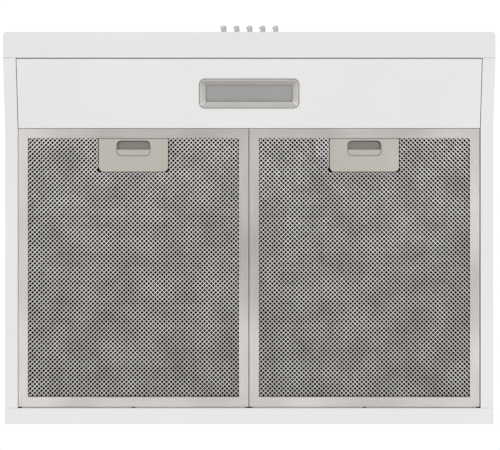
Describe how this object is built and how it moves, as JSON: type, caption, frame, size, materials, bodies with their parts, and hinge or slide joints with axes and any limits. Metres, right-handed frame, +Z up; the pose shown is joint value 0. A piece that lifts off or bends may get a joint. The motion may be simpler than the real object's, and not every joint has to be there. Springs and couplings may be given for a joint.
{
  "type": "range hood",
  "caption": "Under cabinet range hood with tilting mesh grease filters on sliding latches, a lamp, push buttons, a scroll blower and a top duct outlet with damper flaps.",
  "frame": {"origin": "centre of the flat top face, which is also the centre of the four cabinet screw holes", "axes": "+X to the right seen from the front, +Y to the wall at the back, +Z up through the top face"},
  "size_m": [0.6, 0.4905, 0.175],
  "materials": {
    "powder_white": "smooth white powder coat, satin",
    "lamp_white": "white reflector paint, satin",
    "galvanised": "galvanised sheet, dull",
    "brushed_aluminium": "brushed along the border",
    "mesh_aluminium": "layers of expanded foil",
    "satin_silver": "satin silver lacquer",
    "grip_silver": "satin silver lacquer",
    "bright_steel": "bright zinc plate",
    "spring_steel": "drawn wire",
    "black_plastic": "moulded, matt",
    "grey_plastic": "moulded, matt",
    "wheel_plastic": "moulded, matt",
    "lens_plastic": "frosted translucent sheet",
    "motor_steel": "zinc plated pressing",
    "lamination": "stacked electrical steel",
    "copper": "enamelled copper wire",
    "bronze": "sintered",
    "rubber": "moulded, matt",
    "nylon": "moulded nylon",
    "board_green": "solder mask",
    "led_yellow": "phosphor",
    "button_silver": "satin silver lacquer",
    "cable_black": "extruded sleeve",
    "cable_grey": "extruded sleeve",
    "cable_white": "extruded sleeve"
  },
  "bodies": {
    "hood": {"canopy": "powder_white", "side_panel_left": "powder_white", "side_panel_right": "powder_white", "back_panel": "powder_white", "front_fascia": "powder_white", "light_panel": "powder_white", "filter_divider": "powder_white", "duct_collar": "grey_plastic", "collar_screws": "bright_steel", "damper_rod": "bright_steel", "scroll_upper": "galvanised", "scroll_lower": "galvanised", "scroll_screws": "bright_steel", "scroll_clips": "spring_steel", "inlet_guard": "bright_steel", "motor_case_upper": "motor_steel", "motor_case_lower": "motor_steel", "motor_stator": "lamination", "motor_windings": "copper", "motor_bearings": "bronze", "motor_mounts": "rubber", "motor_screws": "bright_steel", "wiring_box": "galvanised", "wiring_box_cover": "galvanised", "terminal_block": "nylon", "capacitor": "nylon", "cable_grommet": "rubber", "motor_lead": "cable_black", "switch_lead": "cable_grey", "lamp_lead": "cable_white", "lamp_bezel": "satin_silver", "lamp_lens": "lens_plastic", "lamp_tray": "lamp_white", "led_board": "board_green", "led_chips": "led_yellow", "switch_body": "black_plastic", "switch_bracket": "galvanised"},
    "rotor": {"impeller": "wheel_plastic", "impeller_nut": "bright_steel", "motor_shaft": "bright_steel", "motor_rotor": "lamination"},
    "damper_front": {"damper_flap_front": "grey_plastic"},
    "damper_rear": {"damper_flap_rear": "grey_plastic"},
    "key_off": {"button_off": "button_silver"},
    "key_low": {"button_low": "button_silver"},
    "key_medium": {"button_medium": "button_silver"},
    "key_high": {"button_high": "button_silver"},
    "key_light": {"button_light": "button_silver"},
    "filter_left": {"filter_frame_left": "brushed_aluminium", "filter_mesh_left": "mesh_aluminium", "filter_hooks_left": "brushed_aluminium", "latch_housing_left": "satin_silver"},
    "latch_left": {"latch_slider_left": "grip_silver", "latch_spring_left": "spring_steel"},
    "filter_right": {"filter_frame_right": "brushed_aluminium", "filter_mesh_right": "mesh_aluminium", "filter_hooks_right": "brushed_aluminium", "latch_housing_right": "satin_silver"},
    "latch_right": {"latch_slider_right": "grip_silver", "latch_spring_right": "spring_steel"}
  },
  "joints": [
    {"name": "fan_spin", "type": "hinge", "parent": "hood", "child": "rotor", "pos_m": [-0.163, 0, -0.04], "axis": [0, 0, 1], "continuous": true},
    {"name": "damper_front_swing", "type": "hinge", "parent": "hood", "child": "damper_front", "pos_m": [0, 0.055, 0.009], "axis": [-1, 0, 0], "range_deg": [0, 80]},
    {"name": "damper_rear_swing", "type": "hinge", "parent": "hood", "child": "damper_rear", "pos_m": [0, 0.055, 0.009], "axis": [1, 0, 0], "range_deg": [0, 80]},
    {"name": "press_off", "type": "slide", "parent": "hood", "child": "key_off", "axis": [0, 1, 0], "range_m": [0, 0.004], "stiffness_N_per_m": 400, "springref_m": -0.002},
    {"name": "press_low", "type": "slide", "parent": "hood", "child": "key_low", "axis": [0, 1, 0], "range_m": [0, 0.004], "stiffness_N_per_m": 400, "springref_m": -0.002},
    {"name": "press_medium", "type": "slide", "parent": "hood", "child": "key_medium", "axis": [0, 1, 0], "range_m": [0, 0.004], "stiffness_N_per_m": 400, "springref_m": -0.002},
    {"name": "press_high", "type": "slide", "parent": "hood", "child": "key_high", "axis": [0, 1, 0], "range_m": [0, 0.004], "stiffness_N_per_m": 400, "springref_m": -0.002},
    {"name": "press_light", "type": "slide", "parent": "hood", "child": "key_light", "axis": [0, 1, 0], "range_m": [0, 0.004], "stiffness_N_per_m": 400, "springref_m": -0.002},
    {"name": "tilt_left", "type": "hinge", "parent": "hood", "child": "filter_left", "pos_m": [0, 0.1241, -0.1096], "axis": [1, 0, 0], "range_deg": [0, 75]},
    {"name": "latch_slide_left", "type": "slide", "parent": "filter_left", "child": "latch_left", "axis": [0, 1, 0], "range_m": [-0.0035, 0], "stiffness_N_per_m": 300, "springref_m": -0.01, "deforming": ["latch_spring_left"]},
    {"name": "tilt_right", "type": "hinge", "parent": "hood", "child": "filter_right", "pos_m": [0, 0.1241, -0.1096], "axis": [1, 0, 0], "range_deg": [0, 75]},
    {"name": "latch_slide_right", "type": "slide", "parent": "filter_right", "child": "latch_right", "axis": [0, 1, 0], "range_m": [-0.0035, 0], "stiffness_N_per_m": 300, "springref_m": -0.01, "deforming": ["latch_spring_right"]}
  ]
}
